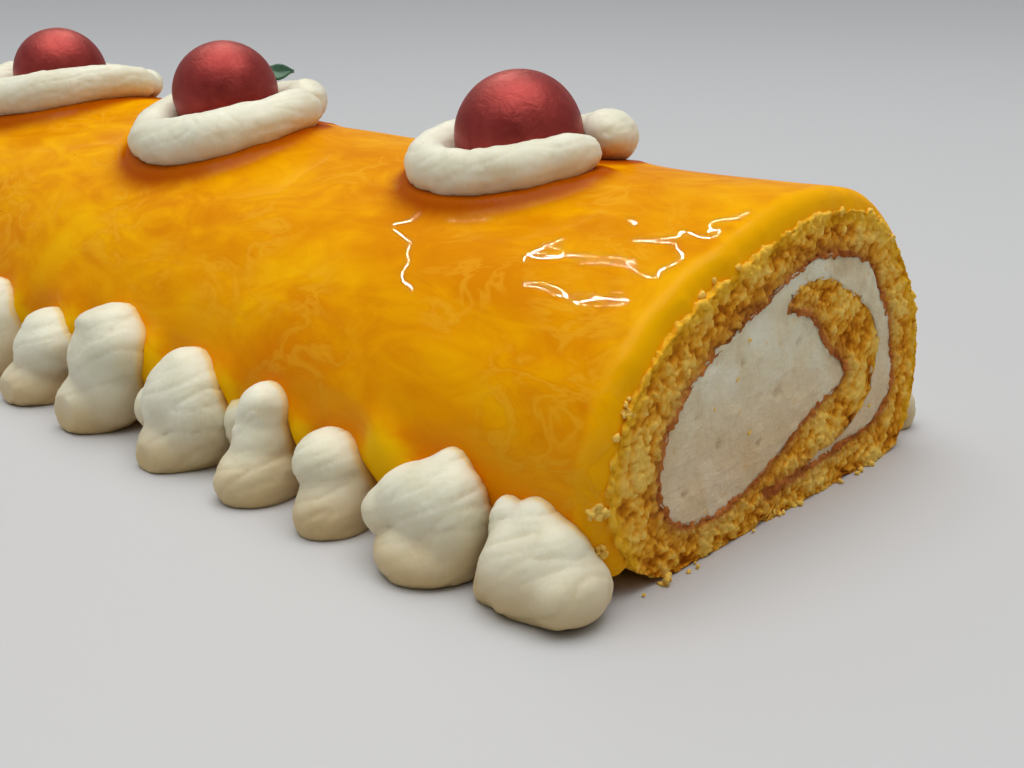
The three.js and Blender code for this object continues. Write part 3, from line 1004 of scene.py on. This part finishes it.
def ballFinish():
    finish = Finish("roseChocolate", Metallic=0.6, Specular_IOR_Level=0.3)
    clouds = finish.noise(0.006, 4, 0.6, 0.8)
    body = finish.ramp(clouds, (0.3, (0.29, 0.03, 0.026)), (0.7, (0.4, 0.056, 0.047)))
    grainy = finish.noise(0.0022, 4, 0.6, 1.4)
    dull = 0.35 + finish.noise(0.004, 3) * 0.2
    return finish.feed(Base_Color=body, Roughness=dull, Normal=finish.bump(grainy, 0.0003, 0.5))


def makeBall(number):
    x, z = ballCentres[number]
    bm = bmesh.new()
    bmesh.ops.create_icosphere(bm, subdivisions=5, radius=ball["radius"] * mm)
    size, share = ball["swell"]
    for vert in bm.verts:
        vert.co *= 1 + grain(vert.co, size * mm, number) * share
        vert.co = Vector((vert.co.x * ball["wide"] + x * mm, vert.co.y * ball["wide"], vert.co.z + z * mm))
        vert.co.z = max(vert.co.z, (z - ball["seat"]) * mm)
    bmesh.ops.remove_doubles(bm, verts=bm.verts, dist=0.02 * mm)
    bmesh.ops.recalc_face_normals(bm, faces=bm.faces)
    return bm


ballMaterial = ballFinish()
for number in ballCentres:
    piece(f"ball{number}", makeBall(number), ballMaterial, [f"ball_{number}"])
print("balls ready")


# loose crumbs on the coat's edge and at the foot of the cut faces

loose = {
    "rim": 46,
    "rimSpread": 0.0015,  # how far from the coat's edge, as a share of half its length
    "foot": 26,
    "footFrom": 157.4,  # how far from the middle the crumbs at the foot begin
    "fillingFace": 156.9,  # where the crumbs on the filling lie
    "furthest": 0.1594,
    "sizes": (0.45, 1),
    "seed": 4,
    # x, y, z, reach, count
    "clumps": [
        (157, -51.8, 18, 1.5, 20), (157.2, -51, 10, 1.4, 10), (157.4, -46, 33, 1.3, 9),
        (158.6, -36, 0.8, 1, 6),
    ],
    "onFilling": [(-11, 19.8), (-22.5, 27.1), (-16, 30.9), (-19.5, 33), (33, 13), (-12.6, 37)],  # y, z
}


def makeCrumbs():
    rng = random.Random(loose["seed"])
    bm = bmesh.new()
    crumbLayer = bm.verts.layers.float.new("crumb")
    crustLayer = bm.verts.layers.float.new("crust")
    soakedLayer = bm.verts.layers.float.new("soaked")
    spots = []
    for i in range(loose["rim"]):
        side = rng.choice((-1, 1))
        share = side * (1 - abs(rng.gauss(0, loose["rimSpread"])))
        spot, outward = coatSpot(share, rng.uniform(0.03, 0.97), True)
        spots.append((spot - outward * 0.3 * mm, rng.uniform(1, 2.5)))
    for i in range(loose["foot"]):
        side = rng.choice((-1, 1))
        x = side * (loose["footFrom"] + abs(rng.gauss(0, 0.8)))
        spots.append((Vector((x, rng.uniform(-44, 40), 0.4)) * mm, farOff))
    for y, z in loose["onFilling"]:
        for side in (-1, 1):
            spots.append((Vector((side * loose["fillingFace"], y, z)) * mm, 4))
    for x, y, z, reach, count in loose["clumps"]:
        for i in range(count):
            spot = Vector([v + rng.gauss(0, reach / 2) for v in (x, y, z)]) * mm
            on = coatTree.find_nearest(spot)[0] if z > 5 else spot
            spots.append((on.lerp(spot, 0.2), rng.uniform(1.5, 6)))
    for spot, wet in spots:
        radius = rng.uniform(*loose["sizes"]) * mm
        made = bmesh.ops.create_icosphere(bm, subdivisions=2, radius=radius)["verts"]
        stretch = Vector([rng.uniform(0.7, 1.2) for axis in range(3)])
        for vert in made:
            # their lump height also gives them painted shade in their pits
            height = crumbs(vert.co + spot, 1 * mm, 3)
            vert[crumbLayer], vert[crustLayer], vert[soakedLayer] = height + 0.6, farOff, wet
            vert.co = spot + vert.co * stretch * (0.75 + height * 1.1)
            vert.co.z = max(vert.co.z, 0)
            vert.co.x = math.copysign(min(abs(vert.co.x), loose["furthest"]), vert.co.x)
    bmesh.ops.recalc_face_normals(bm, faces=bm.faces)
    return bm


crumbPiece = piece("looseCrumbs", makeCrumbs(), spongePiece.data.materials[0])
print("crumbs", len(crumbPiece.data.polygons))


# the leaf

def leafFinish():
    finish = Finish("leaf", Roughness=0.45)
    veins = finish.noise(0.002, 3, 0.5, 1)
    body = finish.ramp(veins, (0.3, (0.025, 0.1, 0.05)), (0.7, (0.07, 0.2, 0.1)))
    return finish.feed(Base_Color=body, Normal=finish.bump(veins, 0.0004, 0.6))


def makeLeaf():
    bm = copyOf("leaf")
    bmesh.ops.subdivide_edges(bm, edges=bm.edges[:], cuts=2, use_grid_fill=True)
    smooth(bm, 0.3)
    return bm


piece("leafBlade", makeLeaf(), leafFinish(), ["leaf"])
print("leaf ready")
